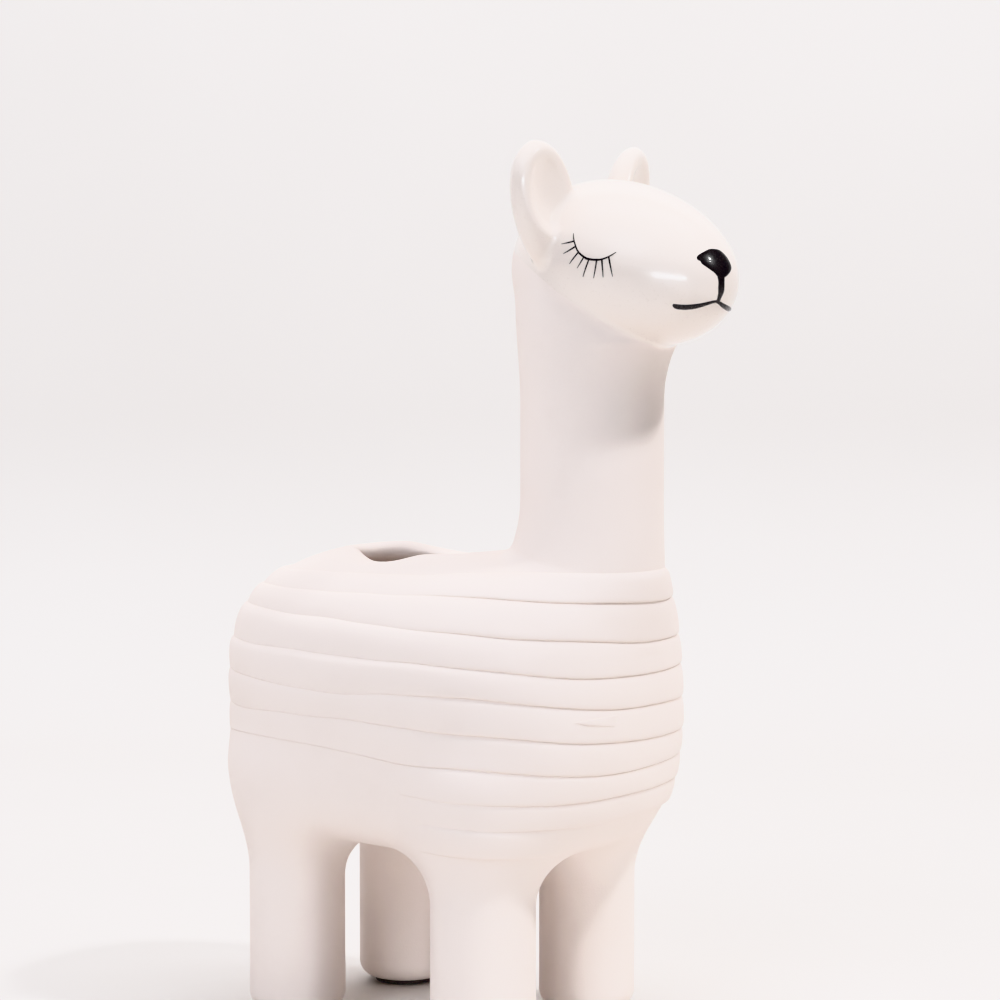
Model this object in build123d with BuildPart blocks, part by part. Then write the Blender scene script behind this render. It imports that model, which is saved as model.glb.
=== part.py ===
from build123d import *

import os
from math import cos, hypot, radians, sin

# Animal shaped planter: a small standing llama in white stoneware with a planting well in its back.
# Millimetres. +X is the way it faces, +Y its left side, +Z up. The origin is on the table,
# under the middle of the overall length and width.

# Barrel of the body, measured on its outer face without the wool straps
barrel_half_length = 54.6
barrel_half_width = 37.8
belly_height = 43.5
girth_height = 73.0
crown_height = 112.8
barrel_center = 2.6
shoulder_lead = 15.4
belly_lag = 2.6
barrel_wall = 4.0
belly_floor = 4.8
strap_tilt = 1.5

# Planting mouth in the back
mouth_half_length = 22.5
mouth_half_width = 15.5
mouth_lag = 3.1
mouth_center = barrel_center - mouth_lag
mouth_rounding = 1.6

# Wool straps wrapped round the barrel
strap_count = 8
strap_crown_gap = 6.8
strap_belly_gap = 6.5
strap_top_height = crown_height - strap_crown_gap
strap_hem_height = belly_height + strap_belly_gap
strap_pitch = (strap_top_height - strap_hem_height) / strap_count
strap_relief = 1.1
strap_feather = 0.35
strap_edge = 0.7

# Legs, set in from the ends and sides of the barrel
leg_front_inset = 30.2
leg_rear_inset = 24.0
leg_side_inset = 16.9
leg_front_center = barrel_center + barrel_half_length - leg_front_inset
leg_rear_center = barrel_center - barrel_half_length + leg_rear_inset
leg_spacing_y = (barrel_half_width - leg_side_inset) * 2
leg_radius = 11.7
leg_flare_radius = 12.0
leg_flare_start = 26.0
leg_wall = 3.6
sole_rounding = 4.2
sole_vent_radius = 1.2
pad_radius = 7.6
pad_thickness = 1.2

# Neck, set in from the front of the barrel
neck_inset = 14.6
neck_center = barrel_center + barrel_half_length - neck_inset
neck_radius = 16.4
neck_flare = 8.4
neck_flare_height = 12.0
neck_wall = 3.6
neck_rings = 6
neck_dome_drop = 7.1

# Head, an egg lying along a line that dips towards the nose, placed by its widest point
head_lead = 8.2
head_center = neck_center + head_lead
head_height = 178.1
head_dip = 14.0
head_back = 25.6
head_front = 29.2
head_radius = 18.3
head_wall = 3.2

# Ears, rooted behind the widest point of the head
ear_setback = 10.2
ear_rise = 3.9
ear_root = head_center - ear_setback
ear_root_height = head_height + ear_rise
ear_spread = 27.0
ear_length = 25.0
ear_half_width = 9.4
ear_half_thickness = 5.8
ear_lean = 18.5
ear_turn = 12.0
ear_rim = 2.2
ear_wall = 2.8

# Black enamel on the face, placed from the height of the head's widest point
enamel_thickness = 0.15
nose_half_width = 6.6
nose_top_rise = 3.5
nose_side_rise = 0.3
nose_tip_drop = 4.5
mouth_line_drop = 9.5
nose_top_height = head_height + nose_top_rise
nose_side_height = head_height + nose_side_rise
nose_tip_height = head_height - nose_tip_drop
mouth_line_height = head_height - mouth_line_drop
mouth_line_width = 0.9
mouth_line_half_width = 10.5
mouth_line_rise = 1.0
philtrum_width = 1.4
eye_lead = 3.8
eye_rise = 6.5
eye_center = head_center + eye_lead
eye_height = head_height + eye_rise
eye_lid_radius = 6.4
eye_lid_sweep = 112.0
eye_lid_turn = 250.0
eye_lid_width = 0.5
lash_count = 8
lash_length = 3.6
lash_width = 0.35

# Rubber stopper in the drain hole
drain_radius = 5.0
drain_recess_radius = 9.0
drain_recess_depth = 1.4
stopper_clearance = 0.08
stopper_flange_radius = 8.0
stopper_flange_thickness = 1.8
stopper_gap = 0.1
stopper_grip = 1.6
stopper_rounding = 0.6

# Where the pieces stand, worked out from the sizes above
overrun = 6.0
nose_reach = head_center + hypot(head_front * cos(radians(head_dip)), head_radius * sin(radians(head_dip)))
rump_reach = barrel_half_length + strap_relief - barrel_center
shift = (rump_reach - nose_reach) / 2
drain_seat_height = belly_height + drain_recess_depth
well_floor_height = belly_height + belly_floor
sole_height = pad_thickness
mouth_rim_height = crown_height - mouth_rounding
mouth_rings = [
    (mouth_rim_height - mouth_rounding * 2, 0),
    (mouth_rim_height - mouth_rounding, mouth_rounding / 8),
    (mouth_rim_height, mouth_rounding),
    (mouth_rim_height + mouth_rounding, mouth_rounding * 3),
]

# How full the barrel's sides are: powers of the curves, not lengths
plan_power = 2.7
rise_power = 3.0
crown_length_power = 5.0
crown_width_power = 2.6
belly_power = 8.0
shoulder_power = 4.0
section_points = 28
barrel_sections = 15
last_section_angle = 85.0
quarter_turn = 90.0
half_turn = 180.0

# How wide an ear is up its height
ear_height_shares = [0.0, 0.25, 0.5, 0.7, 0.85, 0.95, 0.995]
ear_width_shares = [0.7, 0.9, 1.0, 0.92, 0.73, 0.44, 0.13]


def barrel_plan(height, low, high, inset):
    """Centre and half sizes of the barrel's plan at one height, inset from its outer face."""
    if height >= girth_height:
        rise = (height - girth_height) / (high - girth_height)
        long_power = crown_length_power
        wide_power = crown_width_power
        center = barrel_center + shoulder_lead * rise**shoulder_power
    else:
        rise = (girth_height - height) / (girth_height - low)
        long_power = belly_power
        wide_power = belly_power
        center = barrel_center - belly_lag * rise
    fullness = max(1 - rise**rise_power, 0)
    half_length = barrel_half_length * fullness ** (1 / long_power) - inset
    half_width = barrel_half_width * fullness ** (1 / wide_power) - inset
    return center, half_length, half_width


def plan_points(center, half_length, half_width):
    """Points round one plan of the barrel, a box with very soft corners."""
    points = []
    for index in range(section_points):
        angle = radians(360 * index / section_points)
        along = abs(cos(angle)) ** (2 / plan_power)
        across = abs(sin(angle)) ** (2 / plan_power)
        if cos(angle) < 0:
            along = -along
        if sin(angle) < 0:
            across = -across
        points.append((center + half_length * along, half_width * across))
    return points


def tilted_plane(height):
    """Level plane, tipped a little so that the rump stands higher than the chest."""
    return Plane(origin=(shift, 0, height)).rotated((0, strap_tilt, 0))


def barrel_form(inset, low, high, mode):
    """Closed barrel of the body, lofted through plans that crowd together at the crown and belly."""
    plans = []
    for index in range(barrel_sections + 1):
        angle = last_section_angle * (2 * index / barrel_sections - 1)
        reach = (high - girth_height) if angle > 0 else (girth_height - low)
        height = girth_height + reach * sin(radians(angle))
        with BuildSketch(tilted_plane(height)) as plan:
            with BuildLine():
                Spline(plan_points(*barrel_plan(height, low, high, inset)), periodic=True)
            make_face()
        plans.append(plan.sketch)
    loft(plans, mode=mode)


# Solid barrel that the neighbours are cut back to

with BuildPart() as barrel:
    barrel_form(0, belly_height, crown_height, Mode.ADD)

# Solid egg of the head, and the larger and smaller eggs that bound its enamel and its hollow

head_plane = Plane(
    origin=(head_center + shift, 0, head_height),
    x_dir=(cos(radians(head_dip)), 0, -sin(radians(head_dip))),
    z_dir=(0, -1, 0),
)
with BuildPart() as egg:
    with BuildSketch(head_plane):
        with BuildLine():
            EllipticalCenterArc((0, 0), head_front, head_radius, start_angle=0, arc_size=quarter_turn)
            EllipticalCenterArc(
                (0, 0), head_back, head_radius, start_angle=quarter_turn, arc_size=quarter_turn
            )
            Line((-head_back, 0), (head_front, 0))
        make_face()
    revolve(axis=Axis(head_plane.origin, head_plane.x_dir), revolution_arc=half_turn)
    mirror(about=Plane.XZ)

with BuildPart() as egg_hollow:
    add(egg.part)
    scale(by=1 - head_wall / head_radius, about=head_plane.origin)

with BuildPart() as egg_enamelled:
    add(egg.part)
    scale(by=1 + enamel_thickness / head_radius, about=head_plane.origin)

# Body shell with its planting well, mouth and drain

with BuildPart() as body_shell:
    add(barrel.part)
    barrel_form(barrel_wall, well_floor_height, crown_height - barrel_wall, Mode.SUBTRACT)
    with BuildSketch(Plane(origin=(mouth_center + shift, 0, girth_height))):
        Ellipse(mouth_half_length, mouth_half_width)
    extrude(amount=crown_height - girth_height + overrun, mode=Mode.SUBTRACT)
    for height, spread in mouth_rings:
        with BuildSketch(Plane(origin=(mouth_center + shift, 0, height))):
            Ellipse(mouth_half_length + spread, mouth_half_width + spread)
    loft(mode=Mode.SUBTRACT)
    with BuildSketch(Plane(origin=(shift, 0, belly_height - overrun))):
        Circle(drain_recess_radius)
    extrude(amount=overrun + drain_recess_depth, mode=Mode.SUBTRACT)
    with BuildSketch(Plane(origin=(shift, 0, belly_height))):
        Circle(drain_radius)
    extrude(amount=belly_floor + overrun, mode=Mode.SUBTRACT)
    with BuildSketch(Plane(origin=(neck_center + shift, 0, crown_height - barrel_wall - overrun))):
        Circle(neck_radius - neck_wall)
    extrude(amount=barrel_wall + overrun * 2, mode=Mode.SUBTRACT)

body_shell.part.label = "body_shell"

# Wool straps, each thickest at its lower lip

straps = []
for number in range(strap_count):
    upper = strap_top_height - strap_pitch * number
    lower = upper - strap_pitch
    with BuildPart() as strap:
        for height, relief in (
            (lower, strap_relief - strap_edge / 2),
            (lower + strap_edge, strap_relief),
            ((lower + upper) / 2, strap_relief),
            (upper - strap_edge, strap_feather * 2),
            (upper, strap_feather),
        ):
            with BuildSketch(tilted_plane(height)):
                with BuildLine():
                    Spline(
                        plan_points(*barrel_plan(height, belly_height, crown_height, -relief)),
                        periodic=True,
                    )
                make_face()
        loft()
        add(barrel.part, mode=Mode.SUBTRACT)
    strap.part.label = f"wool_band_{number + 1}"
    straps.append(strap)

# Neck, standing on the shoulders, its back edge spreading at the foot and its front edge plumb

with BuildPart() as neck:
    neck_foot = strap_top_height - strap_pitch / 2
    flare_top = crown_height + neck_flare_height
    for index in range(neck_rings):
        rise = index / (neck_rings - 1)
        spread = neck_flare * (1 - rise) ** 2
        height = neck_foot + (flare_top - neck_foot) * rise
        with BuildSketch(Plane(origin=(neck_center - spread / 2 + shift, 0, height))):
            Circle(neck_radius + spread / 2)
    loft()
    with BuildSketch(Plane(origin=(neck_center + shift, 0, flare_top))):
        Circle(neck_radius)
    extrude(amount=head_height - neck_dome_drop - flare_top)
    with Locations((neck_center + shift, 0, head_height - neck_dome_drop)):
        Sphere(neck_radius)
    with BuildSketch(Plane(origin=(neck_center + shift, 0, strap_top_height - strap_pitch))):
        Circle(neck_radius - neck_wall)
    extrude(amount=head_height - strap_top_height + strap_pitch, mode=Mode.SUBTRACT)
    add(barrel.part, mode=Mode.SUBTRACT)
    add(straps[0].part, mode=Mode.SUBTRACT)
    add(egg.part, mode=Mode.SUBTRACT)

neck.part.label = "neck"

# Head, hollow down into the neck

with BuildPart() as head:
    add(egg.part)
    add(egg_hollow.part, mode=Mode.SUBTRACT)
    with BuildSketch(Plane(origin=(neck_center + shift, 0, head_height - head_radius - overrun))):
        Circle(neck_radius - neck_wall)
    extrude(amount=head_radius + overrun, mode=Mode.SUBTRACT)

head.part.label = "head"

# Ears, leaning outwards, each scooped on its front face

ears = []
for side, name in ((-1, "ear_right"), (1, "ear_left")):
    turn = radians(ear_turn)
    lean = radians(ear_lean)
    across = Vector(-sin(turn), side * cos(turn), 0)
    rise = Vector(0, side * sin(lean), cos(lean))
    ear_plane = Plane(
        origin=(ear_root + shift, side * ear_spread / 2, ear_root_height),
        x_dir=(across - rise * across.dot(rise)),
        z_dir=rise,
    )
    with BuildPart() as ear:
        for height_share, width_share in zip(ear_height_shares, ear_width_shares):
            with BuildSketch(ear_plane.offset(ear_length * height_share)):
                Ellipse(ear_half_width * width_share, ear_half_thickness * width_share)
        loft()
        front = -side * ear_half_thickness
        for height_share, width_share in zip(ear_height_shares[1:], ear_width_shares[1:]):
            scoop_height = (ear_length - ear_rim) * height_share
            with BuildSketch(ear_plane.offset(scoop_height)):
                with Locations((0, front)):
                    Ellipse(
                        (ear_half_width - ear_rim) * width_share,
                        (2 * ear_half_thickness - ear_wall) * width_share,
                    )
        loft(mode=Mode.SUBTRACT)
        add(egg.part, mode=Mode.SUBTRACT)
    ear.part.label = name
    ears.append(ear)

# Legs, hollow posts that spread into the belly

legs = []
pads = []
for leg_center, end_name in ((leg_front_center, "front"), (leg_rear_center, "rear")):
    for side, side_name in ((-1, "right"), (1, "left")):
        leg_x = leg_center + shift
        leg_y = side * leg_spacing_y / 2
        leg_top = strap_hem_height + strap_pitch - strap_edge
        axis = Axis((leg_x, leg_y, 0), (0, 0, 1))
        with BuildPart() as leg:
            with BuildSketch(Plane(origin=(leg_x, leg_y, 0), x_dir=(1, 0, 0), z_dir=(0, -1, 0))):
                with BuildLine():
                    sole = Line((0, sole_height), (leg_radius - sole_rounding, sole_height))
                    heel = TangentArc(sole @ 1, (leg_radius, sole_height + sole_rounding), tangent=sole % 1)
                    shaft = Line(heel @ 1, (leg_radius, leg_flare_start))
                    Spline(
                        shaft @ 1,
                        (leg_flare_radius, leg_top),
                        tangents=[(0, 1), (leg_flare_radius - leg_radius, belly_height - leg_flare_start)],
                    )
                    Polyline((leg_flare_radius, leg_top), (0, leg_top), (0, sole_height))
                make_face()
            revolve(axis=axis)
            with BuildSketch(Plane(origin=(leg_x, leg_y, sole_height + leg_wall))):
                Circle(leg_radius - leg_wall)
            extrude(amount=leg_top, mode=Mode.SUBTRACT)
            with BuildSketch(Plane(origin=(leg_x, leg_y, 0))):
                Circle(sole_vent_radius)
            extrude(amount=leg_wall + sole_height + overrun, mode=Mode.SUBTRACT)
            add(barrel.part, mode=Mode.SUBTRACT)
            add(straps[-1].part, mode=Mode.SUBTRACT)
        leg.part.label = f"leg_{end_name}_{side_name}"
        legs.append(leg)

        with BuildPart() as pad:
            with BuildSketch(Plane(origin=(leg_x, leg_y, 0))):
                Circle(pad_radius)
            extrude(amount=pad_thickness)
        pad.part.label = f"foot_pad_{end_name}_{side_name}"
        pads.append(pad)

# Skin of enamel over the head, cut to each painted outline

with BuildPart() as enamel_skin:
    add(egg_enamelled.part)
    add(egg.part, mode=Mode.SUBTRACT)

face_plane = Plane(origin=(head_center + shift, 0, 0), x_dir=(0, 1, 0), z_dir=(1, 0, 0))

with BuildPart() as nose_enamel:
    add(enamel_skin.part)
    with BuildSketch(face_plane):
        with BuildLine():
            Spline(
                (0, nose_top_height),
                (nose_half_width, nose_side_height),
                (philtrum_width / 2, nose_tip_height),
                tangents=[(1, 0), (0, -1), (-1, -1)],
            )
            Line((philtrum_width / 2, nose_tip_height), (philtrum_width / 2, mouth_line_height))
            Line((philtrum_width / 2, mouth_line_height), (0, mouth_line_height))
            Line((0, mouth_line_height), (0, nose_top_height))
        make_face()
        mirror(about=Plane.YZ)
    extrude(amount=head_front + overrun, mode=Mode.INTERSECT)

nose_enamel.part.label = "nose_enamel"

with BuildPart() as mouth_enamel:
    add(enamel_skin.part)
    with BuildSketch(face_plane):
        with BuildLine():
            ThreePointArc(
                (-mouth_line_half_width, mouth_line_height + mouth_line_rise),
                (0, mouth_line_height - mouth_line_width / 2),
                (mouth_line_half_width, mouth_line_height + mouth_line_rise),
            )
        trace(line_width=mouth_line_width)
    extrude(amount=head_front + overrun, mode=Mode.INTERSECT)
    add(nose_enamel.part, mode=Mode.SUBTRACT)

mouth_enamel.part.label = "mouth_enamel"

# Closed eyelids with their lashes

eyes = []
for side, name in ((-1, "lashes_right"), (1, "lashes_left")):
    eye_plane = Plane(origin=(eye_center + shift, 0, eye_height), x_dir=(1, 0, 0), z_dir=(0, -1, 0))
    with BuildPart() as eye:
        add(enamel_skin.part)
        with BuildSketch(eye_plane):
            with BuildLine():
                CenterArc((0, 0), eye_lid_radius, eye_lid_turn - eye_lid_sweep / 2, eye_lid_sweep)
            trace(line_width=eye_lid_width)
            for number in range(lash_count):
                turn = radians(eye_lid_turn + eye_lid_sweep * ((number + 0.5) / lash_count - 0.5))
                ray = Vector(cos(turn), sin(turn))
                with BuildLine():
                    Line(ray * eye_lid_radius, ray * (eye_lid_radius + lash_length))
                trace(line_width=lash_width)
        extrude(amount=-side * (head_radius + overrun), mode=Mode.INTERSECT)
    eye.part.label = name
    eyes.append(eye)

# Rubber stopper, pushed up into the drain hole from below

with BuildPart() as drain_plug:
    flange_top = drain_seat_height - stopper_gap
    with BuildSketch(Plane(origin=(shift, 0, flange_top - stopper_flange_thickness))):
        Circle(stopper_flange_radius)
    extrude(amount=stopper_flange_thickness)
    with BuildSketch(Plane(origin=(shift, 0, flange_top))):
        Circle(drain_radius - stopper_clearance)
    extrude(amount=well_floor_height - flange_top + stopper_grip)
    fillet(drain_plug.edges().group_by(Axis.Z)[-1], radius=stopper_rounding)
    fillet(drain_plug.edges().group_by(Axis.Z)[0], radius=stopper_rounding)

drain_plug.part.label = "drain_plug"

os.makedirs("parts", exist_ok=True)
for piece in [body_shell, neck, head, nose_enamel, mouth_enamel, drain_plug] + straps + ears + legs + pads + eyes:
    export_step(piece.part, f"parts/{piece.part.label}.step")
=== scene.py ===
from math import cos, pi, radians, sin, sqrt

import bpy
import numpy as np
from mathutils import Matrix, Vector


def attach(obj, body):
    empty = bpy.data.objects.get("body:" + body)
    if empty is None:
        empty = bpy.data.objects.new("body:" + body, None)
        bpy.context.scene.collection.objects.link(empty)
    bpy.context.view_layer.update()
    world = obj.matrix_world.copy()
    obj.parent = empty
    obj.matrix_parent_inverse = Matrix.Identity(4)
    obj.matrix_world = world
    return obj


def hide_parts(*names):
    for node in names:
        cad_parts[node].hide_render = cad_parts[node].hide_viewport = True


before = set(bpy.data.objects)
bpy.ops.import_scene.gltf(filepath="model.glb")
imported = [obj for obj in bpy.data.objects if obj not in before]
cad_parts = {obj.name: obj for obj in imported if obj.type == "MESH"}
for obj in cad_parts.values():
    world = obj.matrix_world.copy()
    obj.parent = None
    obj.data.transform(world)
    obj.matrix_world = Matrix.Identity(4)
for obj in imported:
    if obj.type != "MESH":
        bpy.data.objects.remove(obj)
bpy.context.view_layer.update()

# Small standing llama planter. Shapes are worked out in millimetres in the frame of the model:
# +X the way it faces, +Y its left side, +Z up, the origin on the table.

millimetre = 0.001

# Where the pieces stand
shift = -13.188
barrel_half_length = 54.6
barrel_half_width = 37.8
belly_height = 43.5
girth_height = 73.0
crown_height = 112.8
barrel_center = 2.6
shoulder_lead = 15.4
belly_lag = 2.6
barrel_wall = 4.0
belly_floor = 4.8
barrel_tilt = radians(1.5)
clay_swell = 0.1
smallest_plan = 0.5

plan_power = 2.7
rise_power = 3.0
crown_length_power = 5.0
crown_width_power = 2.6
belly_power = 8.0
shoulder_power = 4.0

mouth_middle = -0.5
mouth_half_length = 22.5
mouth_half_width = 15.5
mouth_rim_radius = 2.4
mouth_inner_radius = 2.0

# Soft hollows worn in the rim: the two ends of each on the plan, how low it goes and its radius
rim_hollows = [
    ((-19.3, -15.5), (-17.3, -15.0), 109.2, 10.0),
    ((-18.0, 16.0), (6.0, 15.0), 108.2, 18.0),
]
hollow_radius = 4.0

drain_radius = 5.0
drain_recess_radius = 9.0
drain_recess_depth = 1.4
drain_edge_radius = 0.4

leg_places = {
    "leg_front_right": (27.0, -20.9, 12.1),
    "leg_front_left": (27.0, 20.9, 11.4),
    "leg_rear_right": (-28.0, -20.9, 11.4),
    "leg_rear_left": (-28.0, 20.9, 11.4),
}
sole_height = 1.2
sole_rounding = 4.2
leg_reach = 62.0
arch_radius = 11.0
leg_cut_height = 38.0

neck_middle = 42.6
neck_radius = 16.4
neck_flare = 8.4
neck_flare_low = 102.5
neck_flare_high = 124.8
neck_foot_height = 92.0
neck_dome_height = 173.5
neck_foot_radius = 2.4
neck_cut_height = 117.0
neck_tuck = 3.0
neck_tuck_height = 112.0
chin_flare = 3.8
chin_flare_low = 147.0
chin_flare_high = 160.0
nape_swell = 1.6
nape_swell_low = 146.0
nape_swell_high = 169.0

head_middle = 50.8
head_height = 178.1
head_dip = radians(14)
head_back = 25.6
head_front = 29.2
head_radius = 18.3
jaw_radius = 1.3
nape_radius = 6.0
glaze_line = 172.5
glaze_slope = 0.76
glaze_curve = 0.0135
glaze_blend_start = -6.0
glaze_blend_length = 10.0

ear_root = 40.6
ear_root_height = 182.0
ear_half_spread = 13.5
ear_length = 24.2
ear_half_width = 9.4
ear_half_thickness = 5.8
ear_lean = radians(18.5)
ear_turn = radians(12)
ear_rim_radius = 1.6
scoop_half = np.array([6.6, 9.8, 3.6])
scoop_middle = 13.4
scoop_ahead = 4.9
ear_foot_radius = 1.6
ear_floor_share = -0.3
ear_foot_width = 0.7
ear_spread = 0.9
ear_taper = 1.1
ear_tip_power = 12.0
ear_tip_fullness = 0.6
ear_least_width = 0.02


# Distances to the clay forms, less than zero inside them


def unit(rows):
    """Rows of vectors brought to length one."""
    return rows / np.maximum(np.linalg.norm(rows, axis=1), 1e-6)[:, None]


def heading(turns, lifts):
    """Directions at turns round the upright axis and lifts above level."""
    return np.stack([np.cos(lifts) * np.cos(turns), np.cos(lifts) * np.sin(turns), np.sin(lifts)], -1)


def ramp(values, start, end):
    """How far values have come on the way from a start to an end, held at both."""
    return np.clip((values - start) / (end - start), 0, 1)


def melt(one, other, radius):
    """Two forms as one, with a round fillet where they meet."""
    near = np.maximum(radius - np.abs(one - other), 0) / radius
    return np.minimum(one, other) - radius * 0.5 * (1 + near - np.sqrt(1 - near * (near - 2)))


def carve(form, tool, radius):
    """A form with another taken out of it, the edge rounded over."""
    return -melt(-form, tool, radius)


def within_barrel(points, inset, low, high):
    """True inside the barrel's curves, whose plans are boxes with very soft corners."""
    along = (points[:, 0] - shift) / cos(barrel_tilt)
    height = points[:, 2] + along * sin(barrel_tilt)
    upper = height >= girth_height
    above = (height - girth_height) / (high - girth_height)
    below = (girth_height - height) / (girth_height - low)
    rise = np.maximum(np.where(upper, above, below), 0)
    lead = np.where(upper, shoulder_lead * rise**shoulder_power, -belly_lag * rise)
    middle = barrel_center + lead
    fullness = np.maximum(1 - rise**rise_power, 0)
    length_power = np.where(upper, 1 / crown_length_power, 1 / belly_power)
    width_power = np.where(upper, 1 / crown_width_power, 1 / belly_power)
    half_length = barrel_half_length * fullness**length_power - inset
    half_width = barrel_half_width * fullness**width_power - inset
    open_plan = (half_length > smallest_plan) & (half_width > smallest_plan)
    length_share = np.abs(along - middle) / np.where(open_plan, half_length, 1)
    width_share = np.abs(points[:, 1]) / np.where(open_plan, half_width, 1)
    return open_plan & (length_share**plan_power + width_share**plan_power < 1)


class Barrel:
    """The barrel's reach in every direction from its middle, looked up smoothly."""

    turn_steps = 480
    lift_steps = 240
    farthest = 90.0
    halvings = 34
    middle_lead = 4.0
    least_level = 0.02

    def __init__(self, inset, low, high):
        self.middle = np.array([shift + barrel_center + self.middle_lead, 0.0, girth_height])
        turns = np.arange(self.turn_steps) * 2 * pi / self.turn_steps
        lifts = np.linspace(-pi / 2, pi / 2, self.lift_steps + 1)
        turn, lift = np.meshgrid(turns, lifts, indexing="ij")
        way = heading(turn, lift).reshape(-1, 3)
        near = np.zeros(len(way))
        far = np.full(len(way), self.farthest)
        for _ in range(self.halvings):
            half = (near + far) / 2
            inside = within_barrel(self.middle + way * half[:, None], inset, low, high)
            near = np.where(inside, half, near)
            far = np.where(inside, far, half)
        self.reach = near.reshape(turn.shape)
        across = (np.roll(self.reach, -1, 0) - np.roll(self.reach, 1, 0)) * self.turn_steps / (4 * pi)
        upward = np.gradient(self.reach, axis=1) * self.lift_steps / pi
        level = np.maximum(np.cos(lift), self.least_level)
        self.slope = 1 / np.sqrt(1 + (across / self.reach / level) ** 2 + (upward / self.reach) ** 2)

    def look_up(self, table, turn, lift):
        """Value of a table between its entries, by cubic curves both ways."""
        first = np.floor(turn).astype(int)
        second = np.floor(lift).astype(int)
        value = 0
        turn_weights = cubic_weights(turn - first)
        lift_weights = cubic_weights(lift - second)
        for turn_place, turn_weight in enumerate(turn_weights):
            row = (first + turn_place - 1) % self.turn_steps
            for lift_place, lift_weight in enumerate(lift_weights):
                column = np.clip(second + lift_place - 1, 0, self.lift_steps)
                value = value + table[row, column] * turn_weight * lift_weight
        return value

    def distance(self, points):
        """Distance from the barrel's face."""
        away = points - self.middle
        level = np.hypot(away[:, 0], away[:, 1])
        turn = (np.arctan2(away[:, 1], away[:, 0]) / (2 * pi)) % 1 * self.turn_steps
        lift = (np.arctan2(away[:, 2], level) / pi + 0.5) * self.lift_steps
        reach = self.look_up(self.reach, turn, lift)
        slope = self.look_up(self.slope, turn, lift)
        return (np.hypot(level, away[:, 2]) - reach) * slope


def cubic_weights(share):
    """Weights of the four entries round a place, for a smooth curve through them."""
    return (
        share * (-0.5 + share * (1 - 0.5 * share)),
        1 + share * share * (1.5 * share - 2.5),
        share * (0.5 + share * (2 - 1.5 * share)),
        share * share * (0.5 * share - 0.5),
    )


outer_barrel = Barrel(0.0, belly_height, crown_height)
inner_barrel = Barrel(barrel_wall, belly_height + belly_floor, crown_height - barrel_wall)


def post_distance(points, x, y, radius, low, high, rounding):
    """Upright round post with rounded ends."""
    out = np.hypot(points[:, 0] - x, points[:, 1] - y) - radius + rounding
    over = np.abs(points[:, 2] - (low + high) / 2) - (high - low) / 2 + rounding
    outside = np.hypot(np.maximum(out, 0), np.maximum(over, 0))
    return outside + np.minimum(np.maximum(out, over), 0) - rounding


def ellipse_distance(across, along, half_across, half_along):
    """Distance from an ellipse, true close to it."""
    near = np.sqrt((across / half_across) ** 2 + (along / half_along) ** 2 + 1e-9)
    steep = np.hypot(across / half_across**2, along / half_along**2)
    return near * (near - 1) / np.maximum(steep, 1e-6)


def leg_distance(points, name):
    """One of the four legs, from its sole up into the barrel."""
    x, y, radius = leg_places[name]
    return post_distance(points, x + shift, y, radius, sole_height, leg_reach, sole_rounding)


def neck_distance(points):
    """Neck, its back edge spreading at the foot, its front edge at the chin, domed inside the head."""
    height = points[:, 2]
    rise = ramp(height, neck_flare_low, neck_flare_high)
    spread = neck_flare * (1 - rise) ** 2
    chin = ramp(height, chin_flare_low, chin_flare_high)
    sink = ramp(height, neck_tuck_height, neck_foot_height)
    ahead = points[:, 0] - (neck_middle + shift - spread / 2 - neck_tuck * sink**2)
    out = np.hypot(ahead, points[:, 1])
    nape = ramp(height, nape_swell_low, nape_swell_high)
    way = ahead / np.maximum(out, 1e-6)
    flare = chin_flare * chin**2 * np.maximum(way, 0) ** 2
    flare = flare + nape_swell * nape**2 * (3 - 2 * nape) * np.maximum(-way, 0) ** 2
    dome = np.hypot(out, np.maximum(height - neck_dome_height, 0)) - neck_radius - spread / 2 - flare
    return np.maximum(dome, neck_foot_height - height)


def egg_shares(ahead, aside, above):
    """How far out places lie, as shares of the head's own reach, and how fast that grows."""
    along = ahead * cos(head_dip) - above * sin(head_dip)
    across = ahead * sin(head_dip) + above * cos(head_dip)
    half = np.where(along >= 0, head_front, head_back)
    near = np.sqrt((along / half) ** 2 + (across**2 + aside**2) / head_radius**2)
    steep = np.sqrt((along / half**2) ** 2 + (across**2 + aside**2) / head_radius**4)
    return near, steep


def head_distance(points):
    """Egg of the head, longer towards the nose."""
    near, steep = egg_shares(points[:, 0] - head_middle - shift, points[:, 1], points[:, 2] - head_height)
    return near * (near - 1) / np.maximum(steep, 1e-6)


def seam_radius(points):
    """Fillet between neck and head, tight under the jaw and wide at the nape."""
    back = np.clip((neck_middle + shift - points[:, 0]) / neck_radius, 0, 1)
    return jaw_radius + (nape_radius - jaw_radius) * back**2


def head_side(points):
    """More than zero on the head's side of the line where its glaze ends, less on the neck's."""
    ahead = points[:, 0] - neck_middle - shift
    line = points[:, 2] - (glaze_line - glaze_slope * ahead - glaze_curve * ahead**2)
    crease = neck_distance(points) - head_distance(points)
    front = np.clip((ahead - glaze_blend_start) / glaze_blend_length, 0, 1)
    return line * (1 - front) + crease * front


def ear_width_share(up):
    """How wide an ear is at a share of its height."""
    climb = np.clip(up, 0, 1)
    full = ear_foot_width + ear_spread * np.clip(up, ear_floor_share, 1) - ear_taper * climb**2
    full = full * (1 - climb**ear_tip_power) ** ear_tip_fullness
    full = full * np.sqrt(1 - np.clip(up / ear_floor_share, 0, 0.999) ** 2)
    return np.maximum(full, ear_least_width)


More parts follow.
